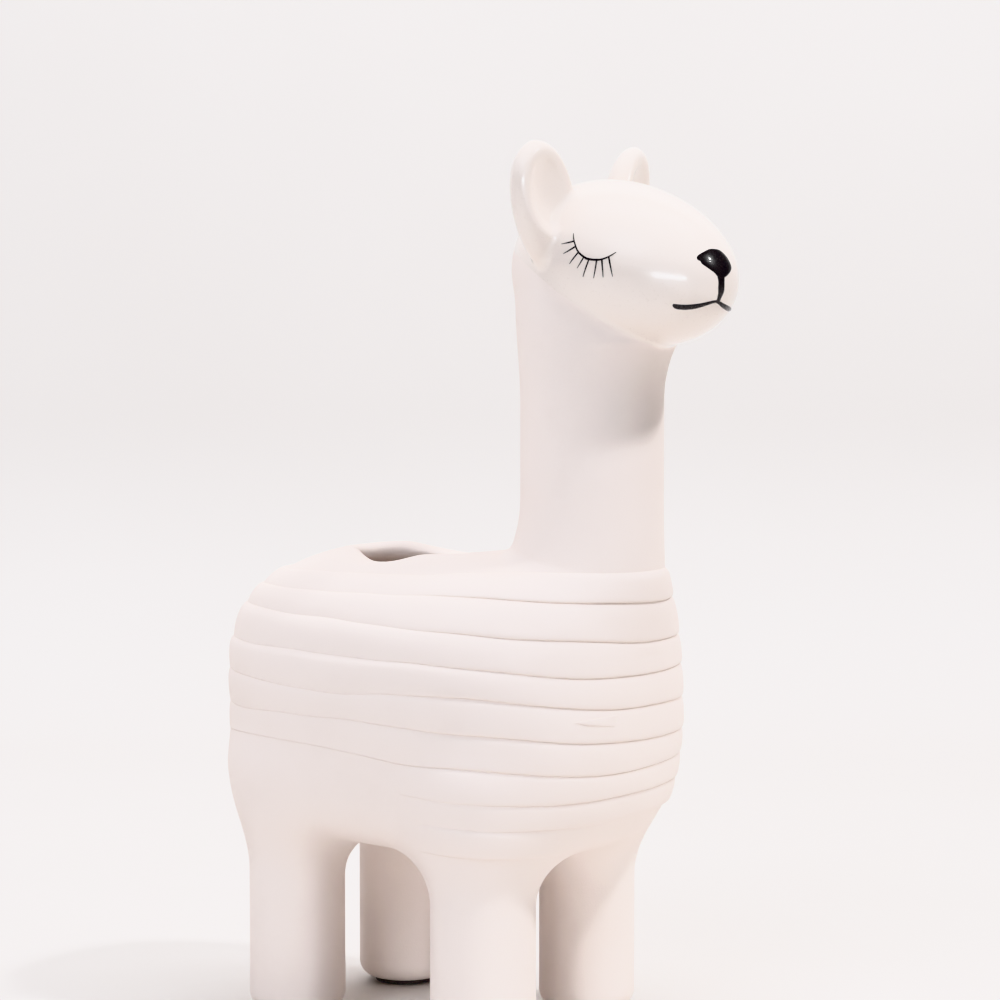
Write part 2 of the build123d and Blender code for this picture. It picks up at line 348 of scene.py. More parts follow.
def ear_distance(points, side):
    """Petal of an ear with its front scooped out."""
    rise = np.array([0, side * sin(ear_lean), cos(ear_lean)])
    across = np.array([-sin(ear_turn), side * cos(ear_turn), 0])
    across = across - rise * across.dot(rise)
    across /= np.linalg.norm(across)
    front = np.cross(across, rise) * side
    away = points - np.array([ear_root + shift, side * ear_half_spread, ear_root_height])
    up = away @ rise / ear_length
    side_reach = away @ across
    depth = away @ front
    wide = ear_width_share(up)
    petal = ellipse_distance(side_reach, depth, ear_half_width * wide, ear_half_thickness * wide)
    petal = np.maximum(petal, np.maximum(up - 1, ear_floor_share - up) * ear_length)
    reach = np.stack([side_reach, up * ear_length - scoop_middle, depth - scoop_ahead], axis=1)
    stretch = np.linalg.norm(reach / scoop_half, axis=1)
    steep = np.linalg.norm(reach / scoop_half**2, axis=1)
    scoop = stretch * (stretch - 1) / np.maximum(steep, 1e-6)
    return carve(petal, scoop, ear_rim_radius)


def hollow_distance(points, one, other, low, radius):
    """A level round bar lying in the rim."""
    one = np.array([*one, low + radius])
    way = np.array([*other, low + radius]) - one
    share = np.clip((points - one) @ way / (way @ way), 0, 1)
    return np.linalg.norm(points - one - share[:, None] * way, axis=1) - radius


def trunk_distance(points):
    """Barrel and legs in one, as if solid."""
    trunk = outer_barrel.distance(points) - clay_swell
    for one, other, low, radius in rim_hollows:
        trunk = carve(trunk, hollow_distance(points, one, other, low, radius), hollow_radius)
    for name in leg_places:
        trunk = melt(trunk, leg_distance(points, name), arch_radius)
    return trunk


def clay_distance(points):
    """The whole casting: barrel with its well, mouth and drain, legs, neck, head and ears."""
    clay = melt(trunk_distance(points), neck_distance(points), neck_foot_radius)
    ahead = points[:, 0] - mouth_middle - shift
    mouth = ellipse_distance(ahead, points[:, 1], mouth_half_length, mouth_half_width)
    mouth = np.maximum(mouth, girth_height - points[:, 2])
    well = melt(inner_barrel.distance(points), mouth, mouth_inner_radius)
    clay = carve(clay, well, mouth_rim_radius)
    out = np.hypot(points[:, 0] - shift, points[:, 1])
    bore = np.maximum(out - drain_radius, np.abs(points[:, 2] - belly_height) - belly_floor * 2)
    seat = np.maximum(out - drain_recess_radius, points[:, 2] - belly_height - drain_recess_depth)
    clay = carve(clay, np.minimum(bore, seat), drain_edge_radius)
    clay = melt(clay, head_distance(points), seam_radius(points))
    for side in (-1, 1):
        clay = melt(clay, ear_distance(points, side), ear_foot_radius)
    return clay


# Meshes from those distances

grid_parts = 12
settle_reach = 0.6
seam_settle_reach = 0.3
normal_reach = 0.05
gentlest_slope = 0.2


def steepest(distance, points, reach=0.02):
    """The way in which the distance grows fastest, with its steepness."""
    slopes = []
    for axis in range(3):
        step = np.zeros(3)
        step[axis] = reach
        slopes.append((distance(points + step) - distance(points - step)) / (2 * reach))
    return np.stack(slopes, 1)


def settle(distance, points, farthest, passes=3):
    """Points brought onto the face of a form."""
    for _ in range(passes):
        slope = steepest(distance, points)
        move = distance(points)[:, None] * slope / np.maximum((slope**2).sum(1), gentlest_slope)[:, None]
        size = np.linalg.norm(move, axis=1)[:, None]
        points = points - move * np.minimum(1, farthest / np.maximum(size, 1e-9))
    return points


def part_of(spans):
    """Slices of a grid between two places along some of its axes, and all of it along the others."""
    return tuple(slice(*spans.get(axis, (None,))) for axis in range(3))


def face_of(distance, low, high, step):
    """Face of a form in a box as points and triangles, one point to each small cell that it crosses."""
    axes = [np.arange(low[i], high[i] + step, step) for i in range(3)]
    shape = tuple(len(axis) for axis in axes)
    grid = np.stack(np.meshgrid(*axes, indexing="ij"), -1).reshape(-1, 3)
    values = np.concatenate([distance(part) for part in np.array_split(grid, grid_parts)])
    values = values.reshape(shape)
    cells = tuple(size - 1 for size in shape)
    total = np.zeros(cells + (3,))
    count = np.zeros(cells)
    crossings = []
    for axis in range(3):
        start = values[part_of({axis: (0, -1)})]
        end = values[part_of({axis: (1, None)})]
        crossed = (start < 0) != (end < 0)
        share = np.where(crossed, start / np.where(crossed, start - end, 1), 0)
        place = np.moveaxis(np.indices(crossed.shape), 0, -1).astype(float)
        place[..., axis] += share
        one, two = [other for other in range(3) if other != axis]
        for low_one in (0, 1):
            for low_two in (0, 1):
                ends = {one: (low_one, low_one + cells[one]), two: (low_two, low_two + cells[two])}
                pick = part_of(ends)
                total += place[pick] * crossed[pick][..., None]
                count += crossed[pick]
        crossings.append((one, two, crossed, start < 0))
    used = count > 0
    number = np.full(cells, -1)
    number[used] = np.arange(used.sum())
    points = np.array(low) + total[used] / count[used][:, None] * step
    triangles = []
    for axis, (one, two, crossed, start_inside) in enumerate(crossings):
        spots = np.argwhere(crossed[part_of({one: (1, -1), two: (1, -1)})])
        spots[:, one] += 1
        spots[:, two] += 1
        forward = start_inside[tuple(spots.T)]
        corners = []
        for back_one, back_two in ((1, 1), (0, 1), (0, 0), (1, 0)):
            spot = spots.copy()
            spot[:, one] -= back_one
            spot[:, two] -= back_two
            corners.append(number[tuple(spot.T)])
        quads = np.stack(corners, 1)
        if axis == 1:
            forward = ~forward
        quads[~forward] = quads[~forward][:, ::-1]
        triangles += [quads[:, [0, 1, 2]], quads[:, [0, 2, 3]]]
    triangles = np.concatenate(triangles)
    return settle(distance, points, step * settle_reach), triangles


def clip(points, triangles, levels):
    """The part of a surface where the levels are below zero, cut cleanly along zero."""
    keep = levels < 0
    kept = keep[triangles].sum(1)
    new_triangles = [triangles[kept == 3]]
    lone = triangles[(kept == 1) | (kept == 2)]
    if len(lone):
        odd_is_kept = keep[lone].sum(1) == 1
        odd = np.argmax(keep[lone] == odd_is_kept[:, None], axis=1)
        rows = np.arange(len(lone))
        a, b, c = (lone[rows, (odd + turn) % 3] for turn in range(3))
        pairs = np.sort(np.concatenate([np.stack([a, b], 1), np.stack([a, c], 1)]), axis=1)
        unique, back = np.unique(pairs, axis=0, return_inverse=True)
        back = back.ravel()
        share = levels[unique[:, 0]] / (levels[unique[:, 0]] - levels[unique[:, 1]])
        cut = points[unique[:, 0]] + (points[unique[:, 1]] - points[unique[:, 0]]) * share[:, None]
        ab = back[: len(lone)] + len(points)
        ac = back[len(lone):] + len(points)
        points = np.concatenate([points, cut])
        new_triangles.append(np.stack([a, ab, ac], 1)[odd_is_kept])
        new_triangles.append(np.stack([ab, b, c], 1)[~odd_is_kept])
        new_triangles.append(np.stack([ab, c, ac], 1)[~odd_is_kept])
    triangles = np.concatenate(new_triangles)
    used = np.unique(triangles)
    renumber = np.zeros(len(points), int)
    renumber[used] = np.arange(len(used))
    return points[used], renumber[triangles]


def close_up(points, triangles):
    """A surface with each open edge closed by a fan from its middle."""
    size = len(points)
    edges = np.concatenate([triangles[:, [0, 1]], triangles[:, [1, 2]], triangles[:, [2, 0]]])
    forward = edges[:, 0] * size + edges[:, 1]
    backward = edges[:, 1] * size + edges[:, 0]
    rims = edges[~np.isin(forward, backward)]
    follow = {int(start): int(end) for start, end in rims}
    fans = []
    middles = []
    while follow:
        start, spot = next(iter(follow.items()))
        ring = [start]
        del follow[start]
        while spot != start and spot in follow:
            ring.append(spot)
            spot = follow.pop(spot)
        middle = size + len(middles)
        middles.append(points[ring].mean(0))
        fans += [(ring[(i + 1) % len(ring)], ring[i], middle) for i in range(len(ring))]
    if middles:
        points = np.concatenate([points, np.array(middles)])
        triangles = np.concatenate([triangles, np.array(fans)])
    return points, triangles


def add_mesh(name, mesh_name, points, faces, material, normals=None):
    """A smooth mesh in the scene, given in metres."""
    mesh = bpy.data.meshes.new(mesh_name)
    mesh.from_pydata(points.tolist(), [], [tuple(map(int, face)) for face in faces])
    mesh.validate()
    mesh.polygons.foreach_set("use_smooth", [True] * len(mesh.polygons))
    if normals is not None:
        mesh.normals_split_custom_set_from_vertices(normals.tolist())
    mesh.materials.append(material)
    mesh.update()
    thing = bpy.data.objects.new(name, mesh)
    bpy.context.scene.collection.objects.link(thing)
    return thing


def add_piece(name, points, faces, slot, body="planter", normals=None):
    """One closed piece of the model, given in millimetres, in the finish of its slot."""
    piece = add_mesh(f"{name}.clay", name, points * millimetre, faces, finishes[slot], normals)
    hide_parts(name)
    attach(piece, body)


def add_clay(name, low, high, step, seams, slot):
    """One piece of the casting, cut out of the whole where each of its seams' measures is below zero."""
    points, triangles = face_of(clay_distance, low, high, step)
    for seam, way in seams:
        points, triangles = clip(points, triangles, seam(points) * way - seam_lap)
    points = settle(clay_distance, points, step * seam_settle_reach, passes=1)
    points, triangles = close_up(points, triangles)
    normals = unit(steepest(clay_distance, points, normal_reach))
    add_piece(name, points, triangles, slot, normals=normals)


# Finishes

# The grain's own values mostly lie between the first two, and a pinhole slopes between the other two
mask_low = 0.3
mask_high = 0.7
pinhole_edge = 0.03
pinhole_floor = 0.012


def adjust(made, **values):
    """Values set on the sockets of a node."""
    for label, value in values.items():
        made.inputs[label.replace("_", " ")].default_value = value


def node(tree, kind, **values):
    """A shader node with its settings and the values of its sockets."""
    made = tree.nodes.new(kind)
    for key, value in values.items():
        if key in made.inputs:
            made.inputs[key].default_value = value
        else:
            setattr(made, key, value)
    return made


def ranged(tree, mask, low, high, low_value=0.0, high_value=1.0):
    """A value that goes from one to another as a mask goes between two values."""
    share = node(tree, "ShaderNodeMapRange", clamp=True)
    adjust(share, From_Min=low, From_Max=high, To_Min=low_value, To_Max=high_value)
    tree.links.new(mask, share.inputs["Value"])
    return share.outputs["Result"]


def new_group(name, inputs, outputs):
    """Empty group of shader nodes with numbers going in and out."""
    group = bpy.data.node_groups.new(name, "ShaderNodeTree")
    for label, value in inputs.items():
        socket = group.interface.new_socket(label, in_out="INPUT", socket_type="NodeSocketFloat")
        socket.default_value = value
    for label in outputs:
        group.interface.new_socket(label, in_out="OUTPUT", socket_type="NodeSocketFloat")
    return group, group.nodes.new("NodeGroupInput"), group.nodes.new("NodeGroupOutput")


def make_clay_grain():
    """Grain and slow unevenness of fired clay, with a few tiny pinholes."""
    group, given, out = new_group(
        "clay_grain",
        {"Grain Size": 900.0, "Wave Size": 60.0, "Pinhole Size": 70.0, "Pinhole Share": 0.0},
        ["Grain", "Wave", "Pinholes"],
    )
    place = node(group, "ShaderNodeTexCoord")
    grain = node(group, "ShaderNodeTexNoise", Detail=4.0, Roughness=0.65)
    wave = node(group, "ShaderNodeTexNoise", Detail=3.0, Roughness=0.5)
    cells = node(group, "ShaderNodeTexVoronoi", feature="F1", Randomness=1.0)
    link = group.links.new
    for texture, label in ((grain, "Grain Size"), (wave, "Wave Size"), (cells, "Pinhole Size")):
        link(place.outputs["Object"], texture.inputs["Vector"])
        link(given.outputs[label], texture.inputs["Scale"])
    close = ranged(group, cells.outputs["Distance"], pinhole_edge, pinhole_floor)
    split = node(group, "ShaderNodeSeparateColor")
    link(cells.outputs["Color"], split.inputs["Color"])
    rare = node(group, "ShaderNodeMath", operation="LESS_THAN")
    link(split.outputs["Red"], rare.inputs[0])
    link(given.outputs["Pinhole Share"], rare.inputs[1])
    holes = node(group, "ShaderNodeMath", operation="MULTIPLY")
    link(close, holes.inputs[0])
    link(rare.outputs["Value"], holes.inputs[1])
    link(grain.outputs["Fac"], out.inputs["Grain"])
    link(wave.outputs["Fac"], out.inputs["Wave"])
    link(holes.outputs["Value"], out.inputs["Pinholes"])
    return group


clay_grain = make_clay_grain()


def new_material(name):
    """Empty material with its surface shader and output."""
    material = bpy.data.materials.new(name)
    material.use_nodes = True
    tree = material.node_tree
    tree.nodes.clear()
    out = tree.nodes.new("ShaderNodeOutputMaterial")
    shader = tree.nodes.new("ShaderNodeBsdfPrincipled")
    tree.links.new(shader.outputs["BSDF"], out.inputs["Surface"])
    return material, tree, shader


def add_grain(tree, **values):
    """The clay's grain placed in a material with its own values."""
    made = tree.nodes.new("ShaderNodeGroup")
    made.node_tree = clay_grain
    adjust(made, **values)
    return made


def tone(tree, mask, low, high, dark, light):
    """Colour that goes from one to another as a mask rises between two values."""
    share = ranged(tree, mask, low, high)
    mixed = node(tree, "ShaderNodeMix", data_type="RGBA")
    colours = [socket for socket in mixed.inputs if socket.type == "RGBA"]
    colours[0].default_value = (*dark, 1)
    colours[1].default_value = (*light, 1)
    tree.links.new(share, mixed.inputs["Factor"])
    return [socket for socket in mixed.outputs if socket.type == "RGBA"][0]


def darken(tree, colour, mask, deep):
    """A colour laid over another where a mask is high."""
    mixed = node(tree, "ShaderNodeMix", data_type="RGBA")
    colours = [socket for socket in mixed.inputs if socket.type == "RGBA"]
    tree.links.new(colour, colours[0])
    colours[1].default_value = (*deep, 1)
    tree.links.new(mask, mixed.inputs["Factor"])
    return [socket for socket in mixed.outputs if socket.type == "RGBA"][0]


def colour_and_roughen(tree, shader, colour, mask, low, high):
    """The colour of a finish, and its roughness between two values as a mask rises."""
    tree.links.new(colour, shader.inputs["Base Color"])
    tree.links.new(ranged(tree, mask, mask_low, mask_high, low, high), shader.inputs["Roughness"])


def bumped(tree, heights, shader):
    """Fine relief in the shading from masks, each with its own depth in metres."""
    last = None
    for mask, depth in heights:
        bump = node(tree, "ShaderNodeBump", Strength=1.0, Distance=depth)
        tree.links.new(mask, bump.inputs["Height"])
        if last is not None:
            tree.links.new(last.outputs["Normal"], bump.inputs["Normal"])
        last = bump
    tree.links.new(last.outputs["Normal"], shader.inputs["Normal"])


def make_bisque():
    """Unglazed white stoneware: dry, faintly pink, with fine grain and a few pinholes."""
    material, tree, shader = new_material("white_bisque")
    grain = add_grain(tree, Grain_Size=2600.0, Wave_Size=45.0, Pinhole_Size=55.0, Pinhole_Share=0.03)
    colour = tone(tree, grain.outputs["Wave"], 0.35, 0.65, (0.875, 0.77, 0.71), (0.90, 0.795, 0.735))
    colour = darken(tree, colour, grain.outputs["Pinholes"], (0.16, 0.10, 0.08))
    colour_and_roughen(tree, shader, colour, grain.outputs["Grain"], 0.62, 0.78)
    adjust(shader, Specular_IOR_Level=0.35)
    bumped(tree, [(grain.outputs["Grain"], 0.00004), (grain.outputs["Wave"], 0.0006)], shader)
    return material


def make_glaze():
    """Clear gloss glaze over the same clay, a little warmer where it pools."""
    material, tree, shader = new_material("clear_glaze")
    grain = add_grain(tree, Grain_Size=1600.0, Wave_Size=40.0)
    colour = tone(tree, grain.outputs["Wave"], 0.2, 0.8, (0.882, 0.78, 0.708), (0.892, 0.79, 0.72))
    colour_and_roughen(tree, shader, colour, grain.outputs["Grain"], 0.27, 0.29)
    adjust(shader, Coat_Weight=1.0, Coat_Roughness=0.14, Coat_IOR=1.5)
    bumped(tree, [(grain.outputs["Grain"], 0.000003), (grain.outputs["Wave"], 0.00025)], shader)
    return material


def make_enamel():
    """Black enamel, glossy, with faint brush ridges."""
    material, tree, shader = new_material("black_enamel")
    grain = add_grain(tree, Grain_Size=1500.0, Wave_Size=400.0)
    colour = tone(tree, grain.outputs["Wave"], 0.3, 0.7, (0.010, 0.008, 0.009), (0.022, 0.018, 0.018))
    colour_and_roughen(tree, shader, colour, grain.outputs["Grain"], 0.2, 0.34)
    adjust(shader, Coat_Weight=0.4, Coat_Roughness=0.08, Specular_IOR_Level=0.3)
    bumped(tree, [(grain.outputs["Wave"], 0.00002)], shader)
    return material


def make_felt():
    """Dark pressed felt, matt and fuzzy."""
    material, tree, shader = new_material("dark_felt")
    grain = add_grain(tree, Grain_Size=3000.0, Wave_Size=900.0)
    colour = tone(tree, grain.outputs["Grain"], 0.3, 0.7, (0.045, 0.04, 0.038), (0.12, 0.11, 0.105))
    colour_and_roughen(tree, shader, colour, grain.outputs["Wave"], 0.9, 1.0)
    adjust(shader, Sheen_Weight=0.4)
    bumped(tree, [(grain.outputs["Grain"], 0.0002)], shader)
    return material


def make_rubber():
    """Black rubber with a dull moulded face."""
    material, tree, shader = new_material("black_rubber")
    grain = add_grain(tree, Grain_Size=2200.0, Wave_Size=200.0)
    colour = tone(tree, grain.outputs["Wave"], 0.3, 0.7, (0.022, 0.022, 0.023), (0.04, 0.039, 0.038))
    colour_and_roughen(tree, shader, colour, grain.outputs["Grain"], 0.45, 0.6)
    bumped(tree, [(grain.outputs["Grain"], 0.00003)], shader)
    return material


finishes = {
    "white_bisque": make_bisque(),
    "clear_glaze": make_glaze(),
    "black_enamel": make_enamel(),
    "dark_felt": make_felt(),
    "black_rubber": make_rubber(),
}

# The casting, piece by piece

body_step = 0.8
leg_step = 0.9
neck_step = 0.8
head_step = 0.6
ear_step = 0.42
seam_lap = 0.02

# A box round each piece reaches past its seams by a few small cells, so the seam is cut cleanly
box_margin = 3
body_box_low = (-70, -40.5, leg_cut_height - box_margin)
body_box_high = (49, 40.5, neck_cut_height + box_margin)
leg_box_half = 19
neck_box_low = (8, -20, neck_cut_height - box_margin)
neck_box_high = (50, 20, 190)
head_box_low = (8, -21, 150)
head_box_high = (70, 21, 202)
ear_box_ahead = (14, 42)
ear_box_out = (3, 31)
ear_box_heights = (166, 209)


def below_barrel(points):
    """More than zero below the seams between the barrel and the legs."""
    return leg_cut_height - points[:, 2]


def above_barrel(points):
    """More than zero above the seam between the barrel and the neck."""
    return points[:, 2] - neck_cut_height


def ear_side(side):
    """A measure that is more than zero where an ear reaches past the head."""
    return lambda points: head_distance(points) - ear_distance(points, side)


barrel_seams = [(below_barrel, 1), (above_barrel, 1)]
ear_seams = [(ear_side(-1), 1), (ear_side(1), 1)]
neck_seams = [(above_barrel, -1), (head_side, 1)] + ear_seams
head_seams = [(head_side, -1)] + ear_seams

add_clay("body_shell", body_box_low, body_box_high, body_step, barrel_seams, "white_bisque")
for name, (x, y, radius) in leg_places.items():
    low = (x + shift - leg_box_half, y - leg_box_half, 0)
    high = (x + shift + leg_box_half, y + leg_box_half, leg_cut_height + box_margin)
    add_clay(name, low, high, leg_step, [(below_barrel, -1)], "white_bisque")
add_clay("neck", neck_box_low, neck_box_high, neck_step, neck_seams, "white_bisque")
add_clay("head", head_box_low, head_box_high, head_step, head_seams, "clear_glaze")
for name, side in (("ear_right", -1), ("ear_left", 1)):
    near, far = sorted(side * out for out in ear_box_out)
    low = (ear_box_ahead[0], near, ear_box_heights[0])
    high = (ear_box_ahead[1], far, ear_box_heights[1])
    add_clay(name, low, high, ear_step, [(ear_side(side), -1)], "clear_glaze")

# Wool straps, laid round the body from the hem upwards. The rows below are the crest line and then
# the lower edge of each strap, as heights at these turns from the front

strap_turns = [-180, -145, -120, -95, -70, -45, -22, 0, 22, 50, 90, 135]
strap_edge_heights = [
    [105.4, 106.0, 106.6, 106.9, 107.3, 107.9, 109.0, 108.8, 109.0, 107.6, 106.6, 105.8],
    [101.6, 101.6, 101.9, 102.3, 102.7, 103.1, 102.4, 101.5, 101.6, 102.0, 101.9, 101.6],
    [97.0, 97.5, 96.8, 96.1, 95.6, 95.4, 94.0, 92.5, 92.3, 93.6, 94.8, 96.2],
    [89.6, 89.5, 89.0, 88.6, 88.3, 87.9, 85.8, 85.5, 85.3, 86.4, 87.6, 88.8],
    [82.2, 81.8, 80.8, 80.3, 81.0, 81.5, 79.1, 78.0, 77.9, 79.2, 80.4, 81.4],
    [74.4, 73.7, 74.5, 74.6, 74.0, 73.1, 71.3, 70.5, 70.7, 72.0, 73.2, 74.0],
    [67.4, 67.8, 68.0, 67.3, 65.8, 65.4, 64.0, 63.6, 65.2, 66.0, 66.6, 67.2],
    [60.4, 60.2, 60.3, 60.0, 58.6, 58.0, 58.1, 58.4, 59.2, 59.6, 60.0, 60.3],
    [53.2, 53.4, 53.6, 53.4, 52.6, 52.0, 52.2, 53.2, 53.6, 53.2, 52.8, 53.0],
]

# How far each strap stands off the body at those turns, as a share of its full thickness. On the
# haunch the lowest ones were smoothed into the clay
strap_fullness = [
    [0.80, 0.80, 0.75, 0.75, 0.85, 0.95, 1.00, 1.00, 1.00, 0.95, 0.90, 0.85],
    [0.90, 0.90, 0.90, 0.90, 0.95, 1.00, 1.00, 1.00, 1.00, 1.00, 0.95, 0.90],
    [0.95, 1.00, 0.95, 0.95, 0.95, 1.00, 1.00, 1.00, 1.00, 1.00, 0.95, 0.90],
    [0.95, 1.00, 0.90, 0.85, 0.90, 1.00, 1.00, 1.00, 1.00, 1.00, 0.95, 0.90],
    [0.85, 0.80, 0.60, 0.55, 0.75, 1.00, 1.00, 1.00, 1.00, 1.00, 0.95, 0.90],
    [0.60, 0.45, 0.35, 0.30, 0.45, 0.95, 1.00, 1.00, 1.00, 1.00, 0.90, 0.75],
    [0.35, 0.05, -0.10, -0.10, 0.15, 0.80, 1.00, 1.00, 1.00, 0.95, 0.70, 0.50],
    [0.20, -0.10, -0.10, -0.10, 0.00, 0.65, 0.90, 0.90, 0.90, 0.80, 0.60, 0.35],
]
strap_crispness = [0.3, 0.1, 0.0, 0.0, 0.2, 0.8, 1.0, 1.0, 1.0, 1.0, 0.8, 0.5]

# Rise of a strap down its face, on the crisp front and on the softened flank
strap_down = [0.0, 0.04, 0.1, 0.17, 0.26, 0.38, 0.5, 0.62, 0.74, 0.83, 0.89, 0.93, 0.96, 0.98, 1.0]
crisp_rise = [0.05, 0.3, 0.56, 0.74, 0.86, 0.94, 0.98, 1.0, 1.0, 0.98, 0.95, 0.91, 0.84, 0.72, 0.4]
soft_rise = [0.1, 0.38, 0.7, 0.9, 1.0, 1.0, 0.95, 0.87, 0.76, 0.66, 0.59, 0.54, 0.5, 0.47, 0.4]
strap_thickness = 1.28
strap_sink = 0.1
strap_back = 0.7
strap_tuck = 0.6
strap_stations = 360
strap_blend = 5.0
strap_wander = 0.22
strap_waves = (3, 5, 8, 13)
strap_wave_lead = 1.7
strap_first_reach = 80.0
strap_marches = 16
strap_normal_reach = 0.1

# The hidden back of a strap, as shares of its width from the nearer edge
strap_lip_turn = 0.04
strap_back_foot = 0.05
strap_back_head = 0.02

# A last short strap under the eighth, over the top of the right front leg only
hem_heights = [45.6, 45.6, 45.6, 45.6, 45.8, 45.6, 45.2, 45.6, 45.6, 45.6, 45.6, 45.6]
hem_fullness = [-0.1, -0.1, -0.1, -0.1, -0.1, 1.0, 0.5, -0.1, -0.1, -0.1, -0.1, -0.1]

# The torn tongue on the fifth strap, by turns in degrees and heights
tongue_strap = 5
tongue_start = -24.0
tongue_end = -12.0
tongue_point = 76.4
tongue_root = 75.9
tongue_half_width = 1.4
tongue_height = 0.3
tongue_bite = 0.06
tongue_depth = 0.4
tongue_flare = 0.8
tongue_rise = 5
tongue_fade = 0.45
tongue_steps = 40
tongue_section = [(-1.0, -1), (-1.0, 0.7), (-0.8, 1.0), (0.0, 0.6), (0.8, 1.0), (1.0, 0.7), (1.0, -1)]


def round_values(values, wander_seed=0, wander=0.0):
    """Values at the strap turns as a smooth closed curve, with a slight waver of the hand."""
    turns = np.arange(strap_stations) * 360 / strap_stations - 180
    line = np.interp(turns, strap_turns, values, period=360)
    waves = np.fft.rfftfreq(strap_stations, 1 / strap_stations)
    soften = np.exp(-((waves * radians(strap_blend)) ** 2) / 2)
    line = np.fft.irfft(np.fft.rfft(line) * soften, strap_stations)
    turns = np.radians(turns)
    for count in strap_waves:
        lead = wander_seed * count * strap_wave_lead + count
        line += wander * np.sin(count * turns + lead) / sqrt(count)
    return line


def solid_clay(points):
    """Barrel, legs and neck in one, as if solid."""
    return melt(trunk_distance(points), neck_distance(points), neck_foot_radius)


def on_body(turns, heights):
    """Places on the body at turns and heights, with the way that the clay faces there."""
    out = heading(turns, np.zeros(len(turns)))
    start = np.stack([np.full(len(turns), shift + barrel_center), np.zeros(len(turns)), heights], 1)
    reach = np.full(len(turns), strap_first_reach)
    for _ in range(strap_marches):
        reach -= solid_clay(start + out * reach[:, None])
    points = start + out * reach[:, None]
    return points, unit(steepest(solid_clay, points, strap_normal_reach))


def strap_form(fullness, upper, lower):
    """Closed ring of one strap from the edge above it to its own lower edge."""
    turns = np.radians(np.arange(strap_stations) * 360 / strap_stations - 180)
    crispness = round_values(strap_crispness)
    rows = []
    for down, crisp, soft in zip(strap_down, crisp_rise, soft_rise):
        rise = crisp * crispness + soft * (1 - crispness)
        rows.append((upper + (lower - upper) * down, strap_thickness * rise * fullness - strap_sink))
    sunk = np.full(strap_stations, -strap_sink)
    buried = np.full(strap_stations, -strap_back)
    rows.append((lower + (upper - lower) * strap_lip_turn, sunk))
    rows.append((lower + (upper - lower) * strap_back_foot, buried))
    rows.append((upper + (lower - upper) * strap_back_head, buried))
    heights = np.concatenate([row[0] for row in rows])
    lifts = np.concatenate([row[1] for row in rows])
    points, facing = on_body(np.tile(turns, len(rows)), heights)
    points = points + facing * lifts[:, None]
    starts = [row * strap_stations for row in range(len(rows))]
    return points, joined(starts, starts[1:] + starts[:1], strap_stations, True)


def tongue_form():
    """A torn end of clay pressed back onto the fifth strap, narrow at one end."""
    shares = np.linspace(0, 1, tongue_steps)
    turns = tongue_start + (tongue_end - tongue_start) * shares
    middle = tongue_point + (tongue_root - tongue_point) * shares
    half_width = tongue_half_width * shares**tongue_flare
    fullness = np.minimum(1, shares * tongue_rise) * np.clip((1 - shares) / tongue_fade, 0, 1)
    face = strap_thickness - strap_sink
    rows = []
    for across, height in tongue_section:
        points, facing = on_body(np.radians(turns), middle + across * half_width)
        lift = face - tongue_bite + tongue_height * height * fullness
        rows.append(points + facing * np.where(height < 0, face - tongue_depth, lift)[:, None])
    starts = [row * tongue_steps for row in range(len(rows))]
    faces = joined(starts[1:] + starts[:1], starts, tongue_steps, False)
    faces.append(tuple(starts))
    faces.append(tuple(start + tongue_steps - 1 for start in reversed(starts)))
    return np.concatenate(rows), faces


def joined(rows, next_rows, count, closed):
    """Faces between rows of points and their next rows, all given by their first points."""
    faces = []
    for low, high in zip(rows, next_rows):
        for step in range(count if closed else count - 1):
            after = (step + 1) % count
            faces.append((low + step, high + step, high + after, low + after))
    return faces


def gathered(parts):
    """Several closed forms as one list of points and faces."""
    points = []
    faces = []
    start = 0
    for part_points, part_faces in parts:
        points.append(part_points)
        faces += [tuple(corner + start for corner in face) for face in part_faces]
        start += len(part_points)
    return np.concatenate(points), faces


strap_edges = [round_values(row, number, strap_wander) for number, row in enumerate(strap_edge_heights)]
for number, fullness in enumerate(strap_fullness, 1):
    upper = strap_edges[number - 1] + (strap_tuck if number > 1 else 0)
    forms = [strap_form(round_values(fullness), upper, strap_edges[number])]
    if number == tongue_strap:
        forms.append(tongue_form())
    if number == len(strap_fullness):
        upper = strap_edges[number] + strap_tuck
        forms.append(strap_form(round_values(hem_fullness), upper, round_values(hem_heights)))
    points, faces = gathered(forms)
    add_piece(f"wool_band_{number}", points, faces, "white_bisque")

# Painted face, in strokes of enamel laid on the head. A stroke runs through turns to the side and lifts
# above level, in degrees, as seen from the middle of the head, with its width in millimetres

nose_outline = [
    (-18.0, 2.0), (-17.2, 3.1), (-15.4, 4.1), (-10.4, 6.1), (-6.5, 6.3), (-3.0, 5.4), (0.2, 2.4),
    (1.7, -0.8), (1.5, -3.0), (-1.2, -5.2), (-4.3, -6.9), (-6.8, -7.6), (-8.9, -6.3), (-10.4, -4.9),
    (-13.7, -2.7), (-16.0, -1.0), (-16.6, 0.3), (-17.8, 0.9),
]
lip_line = [
    (-6.7, -5.8, 2.3), (-6.5, -8.6, 1.9), (-6.4, -10.8, 1.9), (-6.2, -13.2, 1.75), (-6.5, -15.6, 1.2),
    (-6.6, -17.6, 1.1),
]
mouth_near = [
    (-28.2, -21.6, 0.45), (-27.2, -22.2, 1.0), (-25.6, -22.5, 1.25), (-21.5, -22.0, 1.3),
    (-17.0, -20.8, 1.2), (-13.2, -19.3, 0.9), (-9.5, -17.9, 0.7), (-6.5, -17.3, 0.6),
]
mouth_far = [
    (-8.2, -17.4, 0.5), (-5.6, -18.1, 0.8), (-2.6, -19.2, 1.0), (1.8, -20.4, 1.2), (7.0, -21.5, 1.1),
    (13.5, -22.3, 0.5),
]
